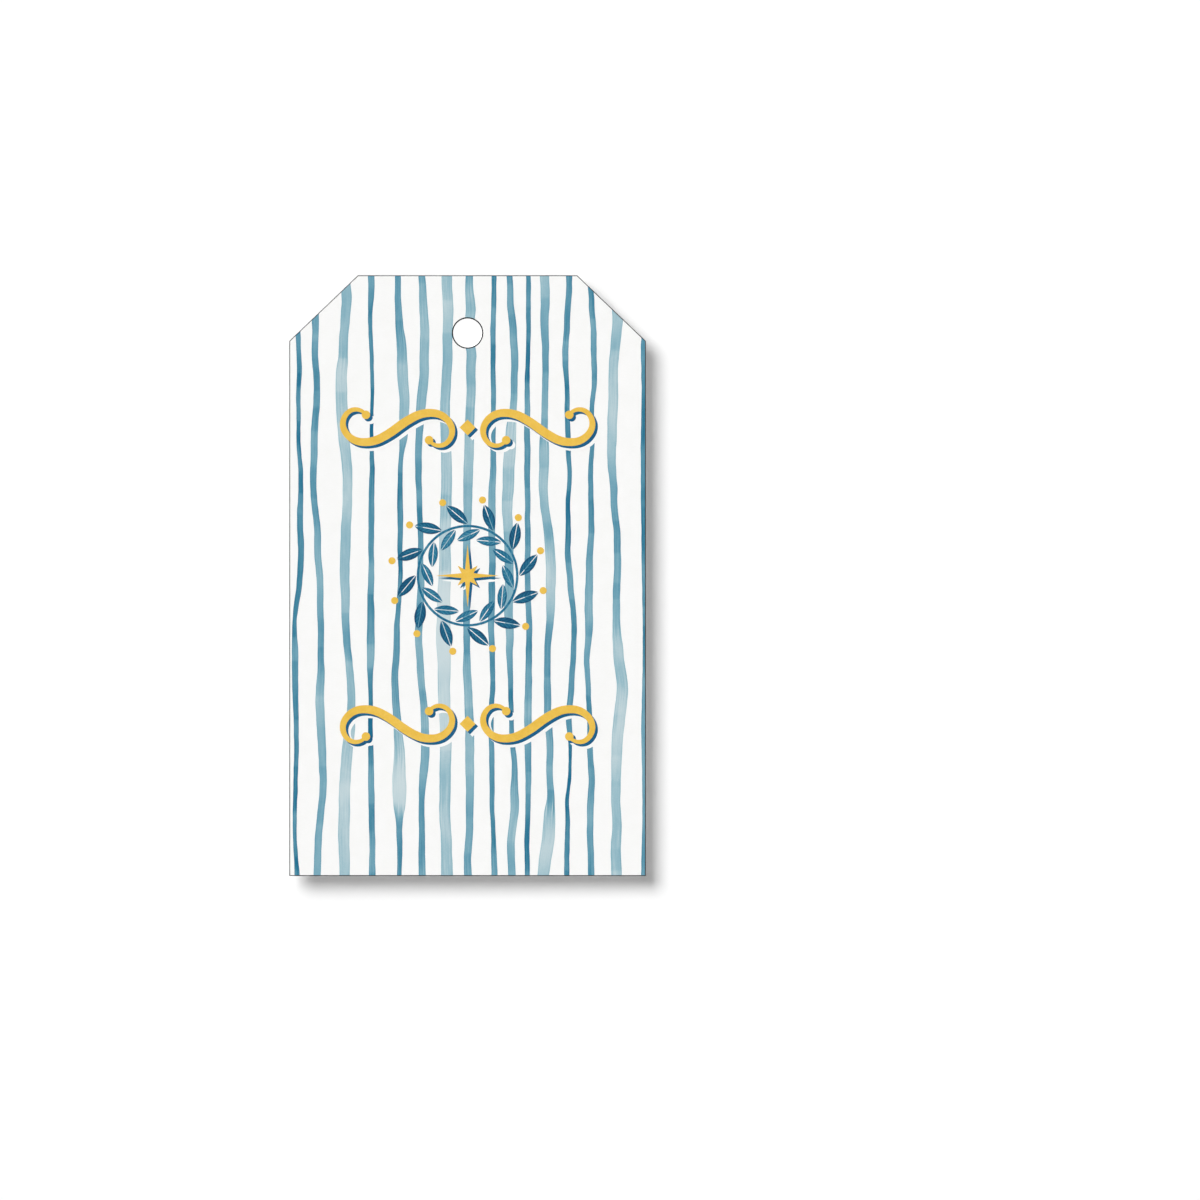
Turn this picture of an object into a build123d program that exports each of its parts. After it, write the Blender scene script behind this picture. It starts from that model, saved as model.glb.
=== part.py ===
from build123d import *

import os
from math import atan2, ceil, copysign, cos, exp, hypot, pi, radians, sin, sqrt

# Paper gift tag, hanging upright. Millimetres, origin at the middle of the hang hole,
# +Z up, the printed front faces -Y. Two glued sheets of card carry thin films of ink.

# Card
TAG_WIDTH = 60.3
TAG_HEIGHT = 101.6
CORNER_CUT_ACROSS = 11.6
CORNER_CUT_DOWN = 11.1
HOLE_DIAMETER = 4.9
HOLE_FROM_TOP = 9.75
FRONT_SHEET = 0.38
BACK_SHEET = 0.38
GLUE_FILM = 0.02
EDGE_BEVEL = 0.14
HOLE_BEVEL = 0.22
INK_FILM = 0.02

# Brush stripes, drawn for a card of the artwork's width:
# place from the middle, width, sway of the hand, swell of the brush
ARTWORK_WIDTH = 60.3
DEEP_STRIPES = [
    (-28.79, 0.88, 0.40, 0.16),
    (-16.28, 0.92, 0.12, 0.20),
    (-11.46, 0.98, 0.40, 0.34),
    (4.13, 1.05, 0.12, 0.12),
    (10.22, 0.84, 0.08, 0.07),
    (17.22, 0.90, 0.42, 0.20),
    (29.95, 0.95, 0.12, 0.10),
]
MID_STRIPES = [
    (-25.33, 1.10, 0.48, 0.12),
    (-7.78, 1.22, 0.34, 0.24),
    (0.18, 1.36, 0.28, 0.16),
    (7.30, 1.18, 0.40, 0.24),
    (20.80, 1.10, 0.44, 0.13),
]
PALE_STRIPES = [
    (-20.62, 1.62, 0.40, 0.22),
    (-3.74, 1.95, 0.18, 0.12),
    (13.36, 1.38, 0.48, 0.36),
    (25.21, 1.62, 0.42, 0.24),
]
SWAY_WAVE = 88.0
SWELL_WAVE = 62.0
RHYTHM = 0.789
BRUSH_LIFT = 0.86
STRIPE_STEP = 4.4
STRIPE_OVERRUN = 3.0

# Wreath in the middle of the card
WREATH_RADIUS = 8.4
STEM_WIDTH = 0.4
LEAF_SPACING = 4.4
OUTER_LEAF_LENGTH = 4.6
OUTER_LEAF_WIDTH = 1.9
INNER_LEAF_LENGTH = 4.2
INNER_LEAF_WIDTH = 1.6
LEAF_SPREAD = 40.0
LEAF_FOOT = 0.2
MIDRIB = 0.14
BERRY_RADIUS = 0.6
BERRY_GAP = 0.3

# Star inside the wreath
STAR_CLEARANCE = 0.9
STAR_SHORT = 2.4
STAR_WAIST = 1.1
STAR_ARMS = 4

# Gold flourishes above and below the wreath: a diamond between two mirrored scrolls
FLOURISH_CLEARANCE = 8.0
DIAMOND_RADIUS = 1.35
DIAMOND_GAP = 0.75
SCROLL_REACH = 17.0
SCROLL_TURN = 275.0
SCROLL_TILT = 36.0
SCROLL_ARCS = 5
SCROLL_WIDTH = 1.5
SCROLL_TIP_WIDTH = 0.55
SCROLL_BALL_RADIUS = 0.72

# Blue shadow printed under the gold, lower right of it
SHADOW_ACROSS = 0.42
SHADOW_DOWN = 0.42

# Writing lines on the back, as drops below the hole
LINE_DROPS = [29.0, 60.5, 67.5]
LINE_LENGTH = 36.0
LINE_WIDTH = 0.3

CARD = FRONT_SHEET + GLUE_FILM + BACK_SHEET
FRONT_FACE = CARD / 2
BACK_FACE = -CARD / 2
SECOND_PRINT = FRONT_FACE + INK_FILM
THIRD_PRINT = SECOND_PRINT + INK_FILM
TOP = HOLE_FROM_TOP
BOTTOM = HOLE_FROM_TOP - TAG_HEIGHT
MIDDLE = (TOP + BOTTOM) / 2
LEAF_PAIRS = round(2 * pi * WREATH_RADIUS / LEAF_SPACING)


def slab(sketch, start, thickness):
    """Give a sketch thickness, from its distance in front of the card's mid-plane."""
    return extrude(Plane.XZ.offset(start) * sketch, thickness)


def card_sketch(edge_inset, hole_inset):
    """The card's outline with its two cut corners and the hole, each drawn in by its inset."""
    half = TAG_WIDTH / 2
    shoulder = TOP - CORNER_CUT_DOWN
    corner = half - CORNER_CUT_ACROSS
    right_side = [(half, BOTTOM), (half, shoulder), (corner, TOP)]
    left_side = [(-x, z) for x, z in reversed(right_side)]
    outline = make_face(Polyline(*right_side, *left_side, close=True))
    if edge_inset:
        outline = offset(outline, amount=-edge_inset, kind=Kind.INTERSECTION)
    return outline - Circle(HOLE_DIAMETER / 2 + hole_inset)


def sheet(start, thickness, outer_side):
    """A sheet of card, eased where the knife and the punch pressed its outer face."""
    body = slab(card_sketch(0, 0), start, thickness)
    for kind, bevel in ((GeomType.LINE, EDGE_BEVEL), (GeomType.CIRCLE, HOLE_BEVEL)):
        outer_face = body.faces().sort_by(Axis.Y)[outer_side]
        body = chamfer(outer_face.edges().filter_by(kind), bevel)
    return body


def band(left_edges, right_edges):
    """The face between two curves that run the same way, closed by straight ends."""
    foot = Line(left_edges[0] @ 0, right_edges[0] @ 0)
    head = Line(left_edges[-1] @ 1, right_edges[-1] @ 1)
    return make_face([*left_edges, *right_edges, foot, head])


def runs(points):
    """Straight runs from point to point."""
    return [Line(*pair) for pair in zip(points, points[1:])]


def arcs(points):
    """A run of arcs, each through three of the points."""
    return [ThreePointArc(*points[k : k + 3]) for k in range(0, len(points) - 2, 2)]


def stripe_edge(place, width, sway, swell, side, z):
    """Where one edge of a brush stripe runs at a height: the hand sways, the brush swells and lifts."""
    phase = 2 * pi * place / RHYTHM
    sway_turn, swell_turn = 2 * pi * z / SWAY_WAVE, 2 * pi * z / SWELL_WAVE
    drift = sin(sway_turn + phase) + 0.5 * sin(2.65 * sway_turn + 2.1 * phase)
    turn = swell_turn + 1.7 * phase
    lift = copysign(BRUSH_LIFT, sin(3 * phase))
    press = atan2(BRUSH_LIFT * sin(turn), 1 - lift * cos(turn)) + 0.4 * sin(2.55 * swell_turn + phase)
    half_width = width / 2 * exp(swell / width * press)
    return place * TAG_WIDTH / ARTWORK_WIDTH + sway * drift + side * half_width


def stripe(place, width, sway, swell):
    """One brush stripe, longer than the card at both ends."""
    low, high = BOTTOM - STRIPE_OVERRUN, TOP + STRIPE_OVERRUN
    steps = ceil((high - low) / STRIPE_STEP)
    heights = [low + (high - low) * k / steps for k in range(steps + 1)]
    left = [(stripe_edge(place, width, sway, swell, -1, z), z) for z in heights]
    right = [(stripe_edge(place, width, sway, swell, 1, z), z) for z in heights]
    return band(runs(left), runs(right))


def leaf_half(length, width):
    """Half of an almond leaf along +X from its foot, beside the midrib."""
    foot, tip = (0, MIDRIB / 2), (length, MIDRIB / 2)
    return make_face([Line(foot, tip), ThreePointArc(tip, (length / 2, width / 2), foot)])


def leaf_feet(side):
    """Where the leaves of one side of the stem start and point, outside for side 1, inside for -1."""
    radius = WREATH_RADIUS + side * (STEM_WIDTH / 2 + LEAF_FOOT)
    half_step = 0 if side > 0 else 180 / LEAF_PAIRS
    turns = [360 * k / LEAF_PAIRS + half_step for k in range(LEAF_PAIRS)]
    heading = 90 - side * LEAF_SPREAD
    return [Pos(0, MIDDLE) * Rot(0, 0, turn) * Pos(radius, 0) * Rot(0, 0, heading) for turn in turns]


def leaves(side, length, width):
    """The leaves of one side of the stem, each in two halves."""
    half = leaf_half(length, width)
    halves = [half, mirror(half, about=Plane.XZ)]
    return [foot * one for foot in leaf_feet(side) for one in halves]


def stem():
    """The wreath's round stem."""
    return Pos(0, MIDDLE) * (Circle(WREATH_RADIUS + STEM_WIDTH / 2) - Circle(WREATH_RADIUS - STEM_WIDTH / 2))


def berries():
    """A berry just beyond the tip of each outer leaf."""
    reach = OUTER_LEAF_LENGTH + BERRY_GAP + BERRY_RADIUS
    return [foot * Pos(reach, 0) * Circle(BERRY_RADIUS) for foot in leaf_feet(1)]


def leaf_reach(side, length):
    """How far from the wreath's middle a point on a leaf's midrib line lies."""
    foot = WREATH_RADIUS + side * (STEM_WIDTH / 2 + LEAF_FOOT)
    return hypot(foot + side * length * sin(radians(LEAF_SPREAD)), length * cos(radians(LEAF_SPREAD)))


def star():
    """A star with long and short points in turn, clear of the inner leaves' tips."""
    long_point = leaf_reach(-1, INNER_LEAF_LENGTH) - STAR_CLEARANCE
    radii = [long_point, STAR_WAIST, STAR_SHORT, STAR_WAIST] * STAR_ARMS
    step = 2 * pi / len(radii)
    points = [(r * cos(k * step), MIDDLE + r * sin(k * step)) for k, r in enumerate(radii)]
    return make_face(Polyline(*points, close=True))


def scroll_heading(share):
    """A scroll's direction at a share of the way from its middle to its tip."""
    return radians(SCROLL_TURN) * share**2 - radians(SCROLL_TILT)


def scroll(edge):
    """A scroll that curls up at both ends, thick in the middle, with a round drop on each tip."""
    steps = 2 * SCROLL_ARCS
    step = SCROLL_REACH / steps
    one_way = [(0.0, 0.0)]
    for k in range(steps):
        heading = scroll_heading((k + 0.5) / steps)
        x, y = one_way[-1]
        one_way.append((x + step * cos(heading), y + step * sin(heading)))
    path = [(-x, -y) for x, y in reversed(one_way[1:])] + one_way
    left, right = [], []
    for k, (x, y) in enumerate(path):
        share = abs(k - steps) / steps
        heading = scroll_heading(share)
        thick = SCROLL_TIP_WIDTH + (SCROLL_WIDTH - SCROLL_TIP_WIDTH) * cos(pi / 2 * share)
        across, up = -sin(heading) * thick / 2, cos(heading) * thick / 2
        left.append((x + across, y + up))
        right.append((x - across, y - up))
    drop = Circle(SCROLL_BALL_RADIUS)
    return band(edge(left), edge(right)) + Pos(*path[0]) * drop + Pos(*path[-1]) * drop


def flourishes(edge):
    """Both gold ornaments: upright above the wreath and turned over below it."""
    shape = scroll(edge)
    bounds = scroll(arcs).bounding_box()
    berry_reach = leaf_reach(1, OUTER_LEAF_LENGTH + BERRY_GAP + BERRY_RADIUS) + BERRY_RADIUS
    rise = berry_reach + FLOURISH_CLEARANCE - bounds.min.Y
    right = Pos(DIAMOND_RADIUS + DIAMOND_GAP - bounds.min.X, rise) * shape
    side = sqrt(2) * DIAMOND_RADIUS
    upper = [right, mirror(right, about=Plane.YZ), Pos(0, rise) * Rot(0, 0, 45) * Rectangle(side, side)]
    both = upper + [mirror(one, about=Plane.XZ) for one in upper]
    return [Pos(0, MIDDLE) * one for one in both]


def shadows():
    """The gold ornaments once more, shifted to the lower right."""
    return [Pos(SHADOW_ACROSS, -SHADOW_DOWN) * one for one in [*flourishes(runs), star()]]


def writing_lines():
    """Thin ruled lines across the middle of the back."""
    return [Pos(0, -drop) * Rectangle(LINE_LENGTH, LINE_WIDTH) for drop in LINE_DROPS]


def front_print(sketches, start):
    """Films of ink on the front, trimmed to the card's flat face."""
    patches = [patch for sketch in sketches for patch in (sketch & print_area).faces()]
    return [slab(patch, start, INK_FILM) for patch in patches]


def stripe_print(rows):
    """The brush stripes of one tone, straight on the card."""
    return front_print([stripe(*row) for row in rows], FRONT_FACE)


print_area = card_sketch(EDGE_BEVEL, HOLE_BEVEL)
outer_leaves = leaves(1, OUTER_LEAF_LENGTH, OUTER_LEAF_WIDTH)
inner_leaves = leaves(-1, INNER_LEAF_LENGTH, INNER_LEAF_WIDTH)

nodes = {
    "front_sheet": [sheet(FRONT_FACE - FRONT_SHEET, FRONT_SHEET, 0)],
    "glue_film": [slab(card_sketch(0, 0), BACK_FACE + BACK_SHEET, GLUE_FILM)],
    "back_sheet": [sheet(BACK_FACE, BACK_SHEET, -1)],
    "deep_stripe_print": stripe_print(DEEP_STRIPES),
    "mid_stripe_print": stripe_print(MID_STRIPES),
    "pale_stripe_print": stripe_print(PALE_STRIPES),
    "outer_leaf_print": front_print(outer_leaves, SECOND_PRINT),
    "inner_leaf_print": front_print([*inner_leaves, stem()], SECOND_PRINT),
    "berry_print": front_print(berries(), SECOND_PRINT),
    "shadow_print": front_print(shadows(), SECOND_PRINT),
    "flourish_print": front_print(flourishes(arcs), THIRD_PRINT),
    "star_print": front_print([star()], THIRD_PRINT),
    "writing_line_print": [slab(line, BACK_FACE - INK_FILM, INK_FILM) for line in writing_lines()],
}

os.makedirs("parts", exist_ok=True)
for name, pieces in nodes.items():
    solids = [solid for piece in pieces for solid in piece.solids()]
    export_step(Compound(children=solids), f"parts/{name}.step")
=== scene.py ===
import itertools
import math

import bmesh
import bpy
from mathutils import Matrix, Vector, noise


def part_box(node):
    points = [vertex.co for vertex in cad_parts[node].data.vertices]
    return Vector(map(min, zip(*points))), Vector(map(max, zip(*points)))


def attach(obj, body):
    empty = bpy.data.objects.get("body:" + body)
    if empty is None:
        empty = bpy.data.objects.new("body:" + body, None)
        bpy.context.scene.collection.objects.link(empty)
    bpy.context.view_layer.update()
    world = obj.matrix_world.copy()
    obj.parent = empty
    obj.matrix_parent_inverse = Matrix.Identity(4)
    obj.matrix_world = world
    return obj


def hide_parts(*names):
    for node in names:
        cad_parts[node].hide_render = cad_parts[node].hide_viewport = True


# Looks of the paper gift tag. Metres, origin at the middle of the hang hole, +Z up, front faces -Y.
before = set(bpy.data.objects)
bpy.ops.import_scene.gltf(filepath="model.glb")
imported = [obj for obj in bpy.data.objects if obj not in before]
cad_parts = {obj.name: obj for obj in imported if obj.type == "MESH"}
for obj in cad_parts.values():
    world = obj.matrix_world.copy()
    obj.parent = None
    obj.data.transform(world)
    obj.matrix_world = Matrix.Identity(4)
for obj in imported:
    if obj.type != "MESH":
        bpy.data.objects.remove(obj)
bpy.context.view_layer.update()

MM = 0.001
WHITE = (1.0, 1.0, 1.0, 1.0)
card_low, card_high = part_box("front_sheet")
card_width = (card_high.x - card_low.x) / MM

# Vertices this close, in metres, count as one, and faces this little bent count as flat
SNAP = 1e-7
FLAT = math.radians(0.2)

# Card and brush stripes in millimetres, as in the part's source
CORNER_CUT_ACROSS = 11.6
CORNER_CUT_DOWN = 11.1
HOLE_RADIUS = 2.45
EDGE_BEVEL = 0.14
HOLE_BEVEL = 0.22
ARTWORK_WIDTH = 60.3
SWAY_WAVE = 88.0
SWELL_WAVE = 62.0
RHYTHM = 0.789
BRUSH_LIFT = 0.86

# Overtones of the hand's sway and of the brush's swell, and what shifts them from stripe to stripe
SWAY_OVERTONE = 0.5
SWAY_OVERTONE_WAVES = 2.65
SWAY_OVERTONE_SHIFT = 2.1
SWELL_OVERTONE = 0.4
SWELL_OVERTONE_WAVES = 2.55
SWELL_SHIFT = 1.7
LIFT_SHIFT = 3

# Each stripe: place from the middle, width, sway of the hand, swell of the brush
STRIPES = {
    "deep_stripe_print": [
        (-28.79, 0.88, 0.40, 0.16),
        (-16.28, 0.92, 0.12, 0.20),
        (-11.46, 0.98, 0.40, 0.34),
        (4.13, 1.05, 0.12, 0.12),
        (10.22, 0.84, 0.08, 0.07),
        (17.22, 0.90, 0.42, 0.20),
        (29.95, 0.95, 0.12, 0.10),
    ],
    "mid_stripe_print": [
        (-25.33, 1.10, 0.48, 0.12),
        (-7.78, 1.22, 0.34, 0.24),
        (0.18, 1.36, 0.28, 0.16),
        (7.30, 1.18, 0.40, 0.24),
        (20.80, 1.10, 0.44, 0.13),
    ],
    "pale_stripe_print": [
        (-20.62, 1.62, 0.40, 0.22),
        (-3.74, 1.95, 0.18, 0.12),
        (13.36, 1.38, 0.48, 0.36),
        (25.21, 1.62, 0.42, 0.24),
    ],
}

# How the painted stripes are refined, in millimetres: short rows, a hand that shakes, a brush whose
# pressure changes slowly, and an edge that wanders. Each shake has a wave and a reach, and a lane is
# where a stripe's noise is read.
ROW = 0.4
THINNEST_ROW = 0.05
SHAKES = [(12.5, 0.60), (5.2, 0.30)]
STEADY_SWAY = 0.25
SHAKY_SWAY = 0.7
PRESS = 0.45
PRESS_WAVE = 27.0
PRESS_LANE = 0.5
EDGE_WANDER = 0.05
EDGE_WAVE = 1.7
EDGE_LANE = 9
EDGE_FROM = 0.5
FREE_ROOM = 1.5
CUT_ROOM = 0.03

# Pigment: a stroke of the first width is washed out, one of the second width is full of colour
WASHED_WIDTH = 2.75
FULL_WIDTH = 0.35
WANDER_WAVE = 9.0
WANDER = 0.14
SLOPE_STEP = 0.5

# How much the traces of the brush change the density of a stroke, how they are drawn out along it, and
# where a lap and a rim set in
HAIR_DRAG = 9.0
HAIR_STREAK = 0.30
HAIR_ALONG = 0.025
POOLING = 0.22
POOL_ACROSS = 0.7
POOL_ALONG = 0.3
GRAIN = 0.10
LAP = 0.04
LAP_EDGE = (0.48, 0.52)
RIM = 0.10
RIM_EDGE = (0.72, 0.98)
DEEPER = {"deep": 0.04, "mid": 0.03, "pale": 0.02}

# Leaf veins, in millimetres, and how much the parts of a leaf change its tone
STEM_RADIUS = 8.4
LONGEST_LEAF = 8.0
VEIN_SPACING = 0.72
VEIN_SLANT = 1.2
VEIN_EDGE = (0.3, 0.45)
BETWEEN_VEINS = -0.06
ON_VEIN = 0.22
THINNEST_BULGE = 0.05
LEAF_RIM_EDGE = (0.5, 1.0)
LEAF_MIDDLE = 0.08
LEAF_RIM = -0.22
LEAF_OWN = 0.35
LEAF_CLOUD = 0.55
LEAF_GRAIN = 0.35

# Shadow and white edge of the gold print, in millimetres
SHADOW_SHIFT = 0.42
WHITE_FILM = 0.003

# How squarely a bevel and a flat face look to the front or the back
BEVEL_FACING = (0.3, 0.55)
FACE_FACING = (0.85, 0.97)

# Clouds and fibres of the card, the layers of its cut edge and the streaks of the glue
CLOUD_SHARE = 0.45
FIBRE_SHARE = 0.55
FIBRE_STRETCH = (0.7, 1.0, 2.6)
LAYER_STRETCH = (0.5, 26.0, 0.5)
GLUE_STRETCH = (0.6, 4.0, 0.6)

# Shine of paper and of ink on it, the usual range of a noise, and how far an ink's roughness strays
MATTE = 0.15
GOLD_SHINE = 0.2
GLUE_SHINE = 0.4
NOISE_RANGE = (0.2, 0.8)
LEAF_RANGE = (0.1, 0.9)
SMOOTHER = 0.06
ROUGHER = 0.08


def srgb(red, green, blue):
    """A colour as it shows on a screen, for a shader socket."""
    def linear(value):
        value /= 255
        return value / 12.92 if value <= 0.04045 else ((value + 0.055) / 1.055) ** 2.4
    return (linear(red), linear(green), linear(blue), 1.0)


CARD_FACE = [(0.3, srgb(246, 246, 244)), (0.55, srgb(249, 249, 248)), (0.75, srgb(252, 252, 251))]
CARD_CUT = [(0.3, srgb(206, 204, 199)), (0.7, srgb(236, 235, 231))]
# Bevels of the edge and hole: pressed card, painted far darker than that as a shade line along the outline
CARD_PRESSED_EDGE_SHADE = [(0.3, srgb(30, 30, 32)), (0.7, srgb(58, 58, 60))]
GLUE = [(0.3, srgb(178, 168, 146)), (0.7, srgb(206, 198, 178))]
GOLD = [(0.3, srgb(228, 182, 66)), (0.5, srgb(234, 190, 76)), (0.7, srgb(238, 198, 90))]
NAVY = [(0.3, srgb(10, 80, 118)), (0.5, srgb(15, 90, 130)), (0.7, srgb(28, 102, 140))]
LEAF_NAVY = [(0.15, srgb(6, 66, 100)), (0.5, srgb(14, 88, 122)), (0.85, srgb(44, 118, 148))]
LEAF_BLUE = [(0.15, srgb(14, 90, 124)), (0.5, srgb(34, 112, 144)), (0.85, srgb(84, 146, 168))]
LINE_BLUE = [(0.3, srgb(44, 104, 136)), (0.5, srgb(52, 112, 142)), (0.7, srgb(66, 122, 150))]
WASH = [
    (0.0, srgb(206, 219, 222)),
    (0.20, srgb(199, 215, 219)),
    (0.33, srgb(186, 207, 213)),
    (0.46, srgb(155, 189, 200)),
    (0.60, srgb(126, 171, 187)),
    (0.70, srgb(106, 158, 178)),
    (0.80, srgb(84, 143, 166)),
    (0.90, srgb(54, 124, 150)),
    (1.0, srgb(22, 104, 138)),
]


class Graph:
    """The shader graph of a material or of the world."""

    def __init__(self, owner):
        self.owner = owner
        owner.use_nodes = True
        self.tree = owner.node_tree
        self.tree.nodes.clear()

    def node(self, kind, inputs=None, **settings):
        made = self.tree.nodes.new(kind)
        for key, value in settings.items():
            setattr(made, key, value)
        for key, value in (inputs or {}).items():
            self.feed(made.inputs[key], value)
        return made

    def feed(self, socket, value):
        if isinstance(value, bpy.types.NodeSocket):
            self.tree.links.new(value, socket)
        else:
            socket.default_value = value

    def math(self, operation, *values):
        return self.node("ShaderNodeMath", dict(enumerate(values)), operation=operation).outputs[0]

    def times(self, first, second):
        return self.math("MULTIPLY", first, second)

    def minus(self, first, second):
        return self.math("SUBTRACT", first, second)

    def most(self, first, *rest):
        for value in rest:
            first = self.math("MAXIMUM", first, value)
        return first

    def total(self, first, *rest):
        for value in rest:
            first = self.math("ADD", first, value)
        return first

    def around(self, value, reach):
        """A noise value as a swing about nothing."""
        return self.times(self.minus(value, 0.5), reach)

    def attribute(self, name):
        return self.node("ShaderNodeAttribute", attribute_name=name).outputs["Fac"]

    def millimetres(self):
        """Where the point is on its object, in millimetres."""
        place = self.node("ShaderNodeTexCoord").outputs["Object"]
        scaled = self.node("ShaderNodeVectorMath", {0: place, "Scale": 1 / MM}, operation="SCALE")
        return scaled.outputs[0]

    def vector(self, x, y, z):
        return self.node("ShaderNodeCombineXYZ", {0: x, 1: y, 2: z}).outputs[0]

    def parts(self, vector):
        return self.node("ShaderNodeSeparateXYZ", {0: vector}).outputs

    def stretch(self, vector, scale):
        return self.node("ShaderNodeVectorMath", {0: vector, 1: scale}, operation="MULTIPLY").outputs[0]

    def noise(self, vector, scale, detail=2.0, roughness=0.5):
        inputs = {"Vector": vector, "Scale": scale, "Detail": detail, "Roughness": roughness}
        return self.node("ShaderNodeTexNoise", inputs).outputs["Fac"]

    def smooth(self, value, low, high, start=0.0, end=1.0):
        inputs = {"Value": value, "From Min": low, "From Max": high, "To Min": start, "To Max": end}
        return self.node("ShaderNodeMapRange", inputs, interpolation_type="SMOOTHSTEP").outputs[0]

    def ramp(self, factor, stops):
        made = self.node("ShaderNodeValToRGB", {"Fac": factor})
        elements = made.color_ramp.elements
        while len(elements) < len(stops):
            elements.new(1.0)
        for element, (position, colour) in zip(elements, stops):
            element.position = position
            element.color = colour
        return made.outputs["Color"]

    def mix(self, factor, first, second):
        return self.node("ShaderNodeMix", {0: factor, 6: first, 7: second}, data_type="RGBA").outputs[2]

    def bump(self, height, strength, depth):
        """Normals that follow a height, of a depth in millimetres."""
        inputs = {"Height": height, "Strength": strength, "Distance": depth * MM}
        return self.node("ShaderNodeBump", inputs).outputs[0]

    def paper_tooth(self):
        """Height of the card's fine surface, which also shows through the ink."""
        place = self.millimetres()
        fine = self.noise(place, scale=5.0, detail=4.0, roughness=0.6)
        return self.total(fine, self.noise(place, scale=1.1, detail=3.0))

    def surface(self, colour, roughness, specular, normal=None):
        """Ends the graph in a principled surface."""
        inputs = {"Base Color": colour, "Roughness": roughness, "Specular IOR Level": specular}
        if normal is not None:
            inputs["Normal"] = normal
        self.output(self.node("ShaderNodeBsdfPrincipled", inputs).outputs[0])
        return self.owner

    def output(self, shader, kind="ShaderNodeOutputMaterial"):
        self.node(kind, {"Surface": shader})

    def diffuse(self, colour):
        return self.node("ShaderNodeBsdfDiffuse", {"Color": colour}).outputs[0]

    def glow(self, strength):
        return self.node("ShaderNodeEmission", {"Color": WHITE, "Strength": strength}).outputs[0]

    def blend(self, factor, first, second):
        return self.node("ShaderNodeMixShader", {0: factor, 1: first, 2: second}).outputs[0]

    def seen(self):
        """1 for what the camera sees, straight or in a shine or a glass, and 0 for light on its way."""
        path = self.node("ShaderNodeLightPath").outputs
        return self.most(path["Is Camera Ray"], path["Is Glossy Ray"], path["Is Transmission Ray"])


def new_graph(name):
    """The empty graph of a new material."""
    return Graph(bpy.data.materials.new(name))


def card_material():
    """White card: clouded on its faces, layered where it is cut, and its pressed bevels painted near black
    as edge shade.
    """
    g = new_graph("white_card")
    place = g.millimetres()
    cloud = g.noise(place, scale=0.32, detail=3.0)
    fibre = g.noise(g.stretch(place, FIBRE_STRETCH), scale=3.2, detail=4.0, roughness=0.65)
    layers = g.noise(g.stretch(place, LAYER_STRETCH), scale=1.0, detail=3.0, roughness=0.6)
    face = g.ramp(g.total(g.times(cloud, CLOUD_SHARE), g.times(fibre, FIBRE_SHARE)), CARD_FACE)
    normal = g.node("ShaderNodeNewGeometry").outputs["True Normal"]
    facing = g.math("ABSOLUTE", g.parts(normal)[1])
    # Bevels take the pressed colour, painted shade that draws a dark line round the outline and the hole
    edge = g.mix(g.smooth(facing, *BEVEL_FACING), g.ramp(layers, CARD_CUT), g.ramp(fibre, CARD_PRESSED_EDGE_SHADE))
    return g.surface(
        colour=g.mix(g.smooth(facing, *FACE_FACING), edge, face),
        roughness=g.smooth(fibre, *NOISE_RANGE, start=0.70, end=0.86),
        specular=MATTE,
        normal=g.bump(g.paper_tooth(), strength=0.25, depth=0.012),
    )


def glue_material():
    """Dried glue, streaked where it was rolled on."""
    g = new_graph("dried_glue")
    streak = g.noise(g.stretch(g.millimetres(), GLUE_STRETCH), scale=1.0, detail=3.0)
    return g.surface(
        colour=g.ramp(streak, GLUE),
        roughness=g.smooth(streak, *NOISE_RANGE, start=0.35, end=0.5),
        specular=GLUE_SHINE,
    )


def wash_material(name, deeper):
    """Watercolour of one brush stroke: it pools at the edges, streaks along the stroke and grains."""
    g = new_graph(name)
    stroke, track = g.attribute("stroke"), g.attribute("track")
    place = g.millimetres()
    height = g.parts(place)[2]
    drawn_out = g.vector(track, stroke, g.times(height, HAIR_ALONG))
    hair = g.noise(drawn_out, scale=4.6, detail=3.0, roughness=0.6)
    gathered = g.vector(g.times(track, POOL_ACROSS), stroke, g.times(height, POOL_ALONG))
    pool = g.noise(gathered, scale=0.7)
    grain = g.noise(place, scale=6.0, roughness=0.6)
    lap = g.noise(g.vector(stroke, 0.0, height), scale=0.11, detail=1.0)
    rim = g.smooth(g.math("ABSOLUTE", g.attribute("across")), *RIM_EDGE)
    density = g.total(
        g.attribute("load"),
        g.times(g.attribute("slope"), g.around(hair, HAIR_DRAG)),
        g.around(hair, HAIR_STREAK),
        g.around(pool, POOLING),
        g.around(grain, GRAIN),
        g.smooth(lap, *LAP_EDGE, start=-LAP, end=LAP),
        g.times(rim, RIM),
        deeper,
    )
    return g.surface(
        colour=g.ramp(density, WASH),
        roughness=g.smooth(grain, *NOISE_RANGE, start=0.58, end=0.74),
        specular=MATTE,
        normal=g.bump(g.paper_tooth(), strength=0.2, depth=0.01),
    )


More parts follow.
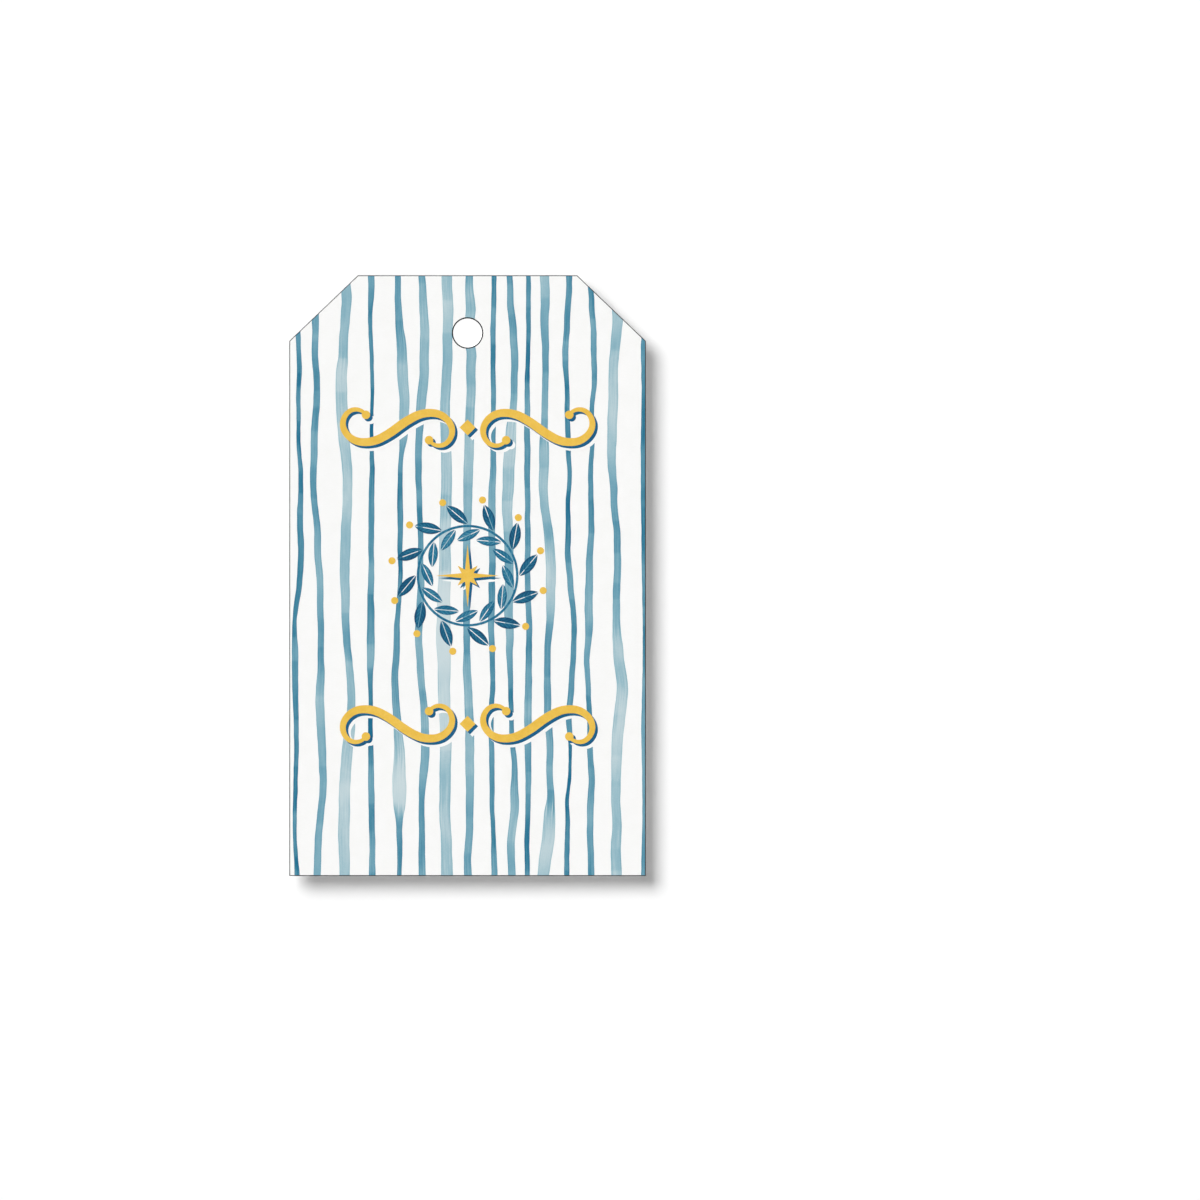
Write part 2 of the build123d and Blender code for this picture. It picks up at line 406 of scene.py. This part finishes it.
def leaf_material(name, stops):
    """Painted leaves: each half has its own tone, pale slanting veins and colour pooled at its rim."""
    g = new_graph(name)
    place = g.millimetres()
    from_middle = g.minus(g.times(g.attribute("share"), 2.0), 1.0)
    bulge = g.minus(1.0, g.math("POWER", from_middle, 2.0))
    rim = g.math("DIVIDE", g.attribute("out"), g.most(bulge, THINNEST_BULGE))
    slant = g.minus(g.attribute("along"), g.times(g.attribute("across"), VEIN_SLANT))
    vein = g.math("PINGPONG", g.math("DIVIDE", slant, VEIN_SPACING), 0.5)
    island = g.node("ShaderNodeNewGeometry").outputs["Random Per Island"]
    tone = g.total(
        g.times(island, LEAF_OWN),
        g.times(g.noise(place, scale=0.9), LEAF_CLOUD),
        g.around(g.noise(place, scale=7.0, detail=3.0, roughness=0.6), LEAF_GRAIN),
        g.smooth(vein, *VEIN_EDGE, start=BETWEEN_VEINS, end=ON_VEIN),
        g.smooth(rim, *LEAF_RIM_EDGE, start=LEAF_MIDDLE, end=LEAF_RIM),
    )
    return g.surface(
        colour=g.ramp(tone, stops),
        roughness=g.smooth(tone, *LEAF_RANGE, start=0.55, end=0.72),
        specular=MATTE,
        normal=g.bump(g.paper_tooth(), strength=0.2, depth=0.01),
    )


def flat_ink(name, stops, roughness, specular):
    """A flat printed colour that mottles slightly on the card."""
    g = new_graph(name)
    place = g.millimetres()
    cloud, grain = g.noise(place, scale=0.8), g.noise(place, scale=6.0, detail=3.0)
    mottle = g.total(g.times(cloud, 0.5), g.times(grain, 0.5))
    return g.surface(
        colour=g.ramp(mottle, stops),
        roughness=g.smooth(mottle, *NOISE_RANGE, start=roughness - SMOOTHER, end=roughness + ROUGHER),
        specular=specular,
        normal=g.bump(g.paper_tooth(), strength=0.2, depth=0.008),
    )


def brush(place, width, sway, swell, z):
    """Middle and half width of a brush stripe at a height, in millimetres, as in the part's source."""
    phase = 2 * math.pi * place / RHYTHM
    sway_turn, swell_turn = 2 * math.pi * z / SWAY_WAVE, 2 * math.pi * z / SWELL_WAVE
    overtone = math.sin(SWAY_OVERTONE_WAVES * sway_turn + SWAY_OVERTONE_SHIFT * phase)
    drift = math.sin(sway_turn + phase) + SWAY_OVERTONE * overtone
    turn = swell_turn + SWELL_SHIFT * phase
    lift = math.copysign(BRUSH_LIFT, math.sin(LIFT_SHIFT * phase))
    pressure = math.atan2(BRUSH_LIFT * math.sin(turn), 1 - lift * math.cos(turn))
    pressure += SWELL_OVERTONE * math.sin(SWELL_OVERTONE_WAVES * swell_turn + phase)
    half_width = width / 2 * math.exp(swell / width * pressure)
    return place * card_width / ARTWORK_WIDTH + sway * drift, half_width


def shake(place, sway, z):
    """Quick small movements of the hand at a height, more of them where it sways more."""
    swing = sum(reach * noise.noise(Vector((place, wave, z / wave))) for wave, reach in SHAKES)
    return swing * (STEADY_SWAY + sway) / SHAKY_SWAY


def press(place, z):
    """Slow changes of the brush's pressure at a height, as a factor on its width."""
    return math.exp(PRESS * noise.noise(Vector((place, PRESS_LANE, z / PRESS_WAVE))))


def room(x, z):
    """How far a point of the print is from the card's sides, cut corners and hole, in millimetres."""
    from_side = card_width / 2 - abs(x)
    below = card_high.z / MM - CORNER_CUT_DOWN - z
    cut = math.hypot(CORNER_CUT_ACROSS, CORNER_CUT_DOWN)
    from_corner = (from_side * CORNER_CUT_DOWN + below * CORNER_CUT_ACROSS) / cut
    from_hole = math.hypot(x, z) - HOLE_RADIUS
    return min(from_side - EDGE_BEVEL, from_corner - EDGE_BEVEL, from_hole - HOLE_BEVEL)


def pigment(row, z):
    """How much colour a stroke holds at a height: the wider it is, the paler."""
    width = 2 * brush(*row, z)[1] * press(row[0], z)
    wander = noise.noise(Vector((row[0], z / WANDER_WAVE, 0)))
    return (WASHED_WIDTH - width) / (WASHED_WIDTH - FULL_WIDTH) + WANDER * wander


def cad_mesh(*nodes):
    """An editable copy of CAD nodes."""
    mesh = bmesh.new()
    for node in nodes:
        mesh.from_mesh(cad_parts[node].data)
    bmesh.ops.remove_doubles(mesh, verts=mesh.verts[:], dist=SNAP)
    return mesh


def float_layers(mesh, *names):
    """New measures for a mesh's vertices, by name."""
    return {name: mesh.verts.layers.float.new(name) for name in names}


def cut_level(mesh, height):
    """Cuts the faces that reach past a height along it."""
    crossing = []
    for face in mesh.faces:
        heights = [vert.co.z for vert in face.verts]
        if min(heights) < height < max(heights):
            crossing.append(face)
    parts = dict.fromkeys(part for face in crossing for part in (*face.verts, *face.edges, face))
    level = {"plane_co": (0, 0, height), "plane_no": (0, 0, 1)}
    bmesh.ops.bisect_plane(mesh, geom=list(parts), dist=SNAP, **level)


def cut_rows(mesh, low, high):
    """Cuts stripes between two heights at the corners they have, and into even rows clear of these."""
    steps = math.ceil((high - low) / (ROW * MM))
    corners = sorted({vert.co.z for vert in mesh.verts})
    even = [low + (high - low) * k / steps for k in range(1, steps)]
    clear = [z for z in even if min(abs(z - corner) for corner in corners) > THINNEST_ROW * MM]
    for height in corners[1:-1] + clear:
        cut_level(mesh, height)


def painted(node, rows):
    """The stripes of a CAD node cut into short rows, with smooth painted edges and their pigment."""
    mesh = cad_mesh(node)
    bmesh.ops.dissolve_limit(mesh, angle_limit=FLAT, verts=mesh.verts[:], edges=mesh.edges[:])
    low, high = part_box(node)
    cut_rows(mesh, low.z, high.z)
    layer = float_layers(mesh, "across", "track", "stroke", "load", "slope")
    limit = card_width / 2 - EDGE_BEVEL
    for vert in mesh.verts:
        x, z = vert.co.x / MM, vert.co.z / MM
        row = min(rows, key=lambda one: abs(x - brush(*one, z)[0]))
        place, _, sway, _ = row
        middle, half = brush(*row, z)
        across = (x - middle) / half
        if abs(across) > EDGE_FROM and room(x, z) > CUT_ROOM:
            side = math.copysign(1, across)
            free = min(1.0, room(x, z) / FREE_ROOM)
            spot = Vector((place, EDGE_LANE * side, z / EDGE_WAVE))
            middle += free * shake(place, sway, z)
            half *= 1 + free * (press(place, z) - 1)
            x = max(-limit, min(limit, middle + side * (half + EDGE_WANDER * noise.noise(spot))))
            vert.co.x = x * MM
            across = side
        vert[layer["across"]] = across
        vert[layer["track"]] = x - middle
        vert[layer["stroke"]] = place
        vert[layer["load"]] = pigment(row, z)
        vert[layer["slope"]] = pigment(row, z + SLOPE_STEP) - pigment(row, z - SLOPE_STEP)
    return mesh


def islands(mesh):
    """The groups of vertices that hang together."""
    left = set(mesh.verts)
    while left:
        found, edge = set(), [left.pop()]
        while edge:
            vert = edge.pop()
            found.add(vert)
            near = {e.other_vert(vert) for e in vert.link_edges} & left
            left -= near
            edge += near
        yield found


def veined(node):
    """The leaves of a CAD node, each half measured along its midrib and across from it."""
    mesh = cad_mesh(node)
    low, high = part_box(node)
    middle = (low + high).xz / 2
    stem = STEM_RADIUS * MM
    layer = float_layers(mesh, "along", "across", "share", "out")
    for half in islands(mesh):
        places = itertools.combinations((vert.co.xz for vert in half), 2)
        ends = max(places, key=lambda pair: (pair[0] - pair[1]).length)
        length = (ends[0] - ends[1]).length
        if length > LONGEST_LEAF * MM:
            continue
        foot, tip = sorted(ends, key=lambda end: abs((end - middle).length - stem))
        run = (tip - foot) / length
        spans = {vert: abs(run.cross(vert.co.xz - foot)) for vert in half}
        widest = max(spans.values())
        for vert, span in spans.items():
            along = run.dot(vert.co.xz - foot)
            vert[layer["along"]] = along / MM
            vert[layer["across"]] = span / MM
            vert[layer["share"]] = along / length
            vert[layer["out"]] = span / widest
    return mesh


def shifted_print(shift, back, front):
    """The gold ornaments once more, shifted to the lower right, as a film between two depths."""
    mesh = cad_mesh("flourish_print", "star_print")
    low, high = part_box("flourish_print")
    for vert in mesh.verts:
        on_front = vert.co.y < (low.y + high.y) / 2
        vert.co = (vert.co.x + shift * MM, front if on_front else back, vert.co.z - shift * MM)
    return mesh


def new_object(name, mesh, material):
    """An object of its own from a mesh, in a material."""
    data = bpy.data.meshes.new(name)
    mesh.to_mesh(data)
    mesh.free()
    data.materials.append(material)
    made = bpy.data.objects.new(name, data)
    bpy.context.scene.collection.objects.link(made)
    return made


def add_piece(name, mesh, material, slot, *replaced):
    """Puts a mesh on the tag as a piece of its own."""
    piece = new_object(name, mesh, material)
    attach(piece, "root")
    if replaced:
        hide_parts(*replaced)


def give(material, *nodes):
    """Dresses CAD nodes in a material."""
    for node in nodes:
        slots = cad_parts[node].data.materials
        slots.clear()
        slots.append(material)


card = card_material()
gold = flat_ink("gold_ink", GOLD, roughness=0.5, specular=GOLD_SHINE)
navy = flat_ink("navy_ink", NAVY, roughness=0.6, specular=MATTE)
give(card, "front_sheet", "back_sheet")
give(glue_material(), "glue_film")
give(gold, "flourish_print", "star_print", "berry_print")
give(flat_ink("line_ink", LINE_BLUE, roughness=0.6, specular=MATTE), "writing_line_print")

for side, stops, slot in (("outer", LEAF_NAVY, "navy_ink"), ("inner", LEAF_BLUE, "deep_blue_ink")):
    node = f"{side}_leaf_print"
    give(navy, node)
    paint = leaf_material(f"{side}_leaf_paint", stops)
    add_piece(f"{side}_leaves", veined(node), paint, slot, node)

for tone, deeper in DEEPER.items():
    node = f"{tone}_stripe_print"
    give(navy, node)
    wash = wash_material(f"{tone}_blue_wash", deeper)
    add_piece(f"{tone}_stripes", painted(node, STRIPES[node]), wash, f"{tone}_blue_ink", node)

print_low, print_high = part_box("shadow_print")
white_top = print_high.y - WHITE_FILM * MM
shadow = shifted_print(SHADOW_SHIFT, white_top, print_low.y)
white_edge = shifted_print(2 * SHADOW_SHIFT, print_high.y, white_top)
give(navy, "shadow_print")
add_piece("gold_shadow", shadow, navy, "navy_ink", "shadow_print")
add_piece("white_edge", white_edge, card, "card")

# Stage: a white wall just behind the tag takes its shadow around its edges, and a pale floor lies well
# below it.
# The wall is turned a little, so that a view along the card doesn't graze it.
# Gap, insets and fade of the wall in millimetres, its turn in degrees, sizes and drop in metres
WALL_GAP = 4.2
WALL_SIZE = 3.0
WALL_TURN = 0.25
WALL_GLOW = 0.02
# Behind the tag's middle the wall glows white: painted light over the tag's own shadow, which shows
# through the hole
HIDDEN_GLOW = 0.7
HIDDEN_SIDE = 5.4
HIDDEN_TOP = 3.2
HIDDEN_FOOT = 1.5
GLOW_FADE = 1.2
FLOOR_DROP = 0.25
FLOOR_SIZE = 8.0
FLOOR_GREY = (0.48, 0.48, 0.48, 1.0)

# Light: level on a white that faces the lamp, spread of the lamp in radians
KEY_DIRECTION = (0.54, 1.0, -0.535)
KEY_LEVEL = 0.85
KEY_SPREAD = 0.60
KEY_BOUNCES = 8
BACK_DIRECTION = (-0.35, -1.0, -0.35)
BACK_LEVEL = 0.74
BACK_SPREAD = 0.8
BACK_BOUNCES = 0
AMBIENT = 0.31

# Camera, in millimetres for lens and sensor and metres for its place
LENS = 600.0
SENSOR = 36.0
CAMERA_ACROSS = 0.0224
CAMERA_DISTANCE = 3.3828
CAMERA_HEIGHT = -0.04517


def plane(name, size, location, rotation, material):
    """A square sheet of the stage."""
    mesh = bmesh.new()
    bmesh.ops.create_grid(mesh, x_segments=1, y_segments=1, size=size / 2)
    made = new_object(name, mesh, material)
    made.location, made.rotation_euler = location, rotation


def past_hidden(g):
    """How far a point of the wall is past the part that the tag hides from the front, in millimetres."""
    across, height, _ = g.parts(g.millimetres())
    top, foot = card_high.z / MM, card_low.z / MM
    cut = math.hypot(CORNER_CUT_ACROSS, CORNER_CUT_DOWN)
    side = g.minus(g.math("ABSOLUTE", across), card_width / 2)
    rise = g.minus(height, top - CORNER_CUT_DOWN)
    corner = g.total(g.times(side, CORNER_CUT_DOWN / cut), g.times(rise, CORNER_CUT_ACROSS / cut))
    past_side = g.total(g.most(side, corner), HIDDEN_SIDE)
    return g.most(past_side, g.minus(height, top - HIDDEN_TOP), g.minus(foot + HIDDEN_FOOT, height))


def wall_material():
    """Seen from the front only; glows white where the tag hides its own shadow, as painted light; from
    behind it is clear.
    """
    g = new_graph("wall_white")
    behind = g.node("ShaderNodeNewGeometry").outputs["Backfacing"]
    by_camera = g.node("ShaderNodeLightPath").outputs["Is Camera Ray"]
    shown = g.times(by_camera, g.minus(1.0, behind))
    # Painted light: emission that whitens the wall over the tag's own shadow behind its middle
    glow = g.glow(g.smooth(past_hidden(g), 0.0, GLOW_FADE, start=HIDDEN_GLOW, end=WALL_GLOW))
    lit = g.node("ShaderNodeAddShader", {0: g.diffuse(WHITE), 1: glow}).outputs[0]
    g.output(g.blend(shown, g.node("ShaderNodeBsdfTransparent").outputs[0], lit))
    return g.owner


def floor_material():
    """A pale floor that is white to the camera."""
    g = new_graph("floor_white")
    g.output(g.blend(g.seen(), g.diffuse(FLOOR_GREY), g.glow(1.0)))
    return g.owner


def studio():
    """Even light from all around, white to the camera."""
    g = Graph(bpy.data.worlds.new("studio"))
    level = g.node("ShaderNodeMapRange", {"Value": g.seen(), "To Min": AMBIENT, "To Max": 1.0}).outputs[0]
    sky = g.node("ShaderNodeBackground", {"Color": WHITE, "Strength": level}).outputs[0]
    g.output(sky, "ShaderNodeOutputWorld")
    return g.owner


def sun(name, direction, level, spread, bounces):
    """A soft distant lamp that shines along a direction and lights a facing white to a level."""
    data = bpy.data.lights.new(name, "SUN")
    data.energy, data.angle = level * math.pi, spread
    data.cycles.max_bounces = bounces
    lamp = bpy.data.objects.new(name, data)
    lamp.rotation_mode = "QUATERNION"
    lamp.rotation_quaternion = Vector(direction).to_track_quat("-Z", "Y")
    bpy.context.scene.collection.objects.link(lamp)


wall_place = (0, card_high.y + WALL_GAP * MM, 0)
wall_turn = (math.pi / 2, 0, -math.radians(WALL_TURN))
plane("wall", WALL_SIZE, wall_place, wall_turn, wall_material())
plane("floor", FLOOR_SIZE, (0, 0, card_low.z - FLOOR_DROP), (0, 0, 0), floor_material())
sun("key", KEY_DIRECTION, KEY_LEVEL, KEY_SPREAD, KEY_BOUNCES)
sun("back_fill", BACK_DIRECTION, BACK_LEVEL, BACK_SPREAD, BACK_BOUNCES)
bpy.context.scene.world = studio()

# Camera straight in front, framed as the photograph
lens = bpy.data.cameras.new("camera")
lens.lens, lens.sensor_width = LENS, SENSOR
camera = bpy.data.objects.new("camera", lens)
camera.location = (CAMERA_ACROSS, card_low.y - CAMERA_DISTANCE, CAMERA_HEIGHT)
camera.rotation_euler = (math.pi / 2, 0, 0)
bpy.context.scene.collection.objects.link(camera)
bpy.context.scene.camera = camera

bpy.context.scene.view_settings.view_transform = "Standard"
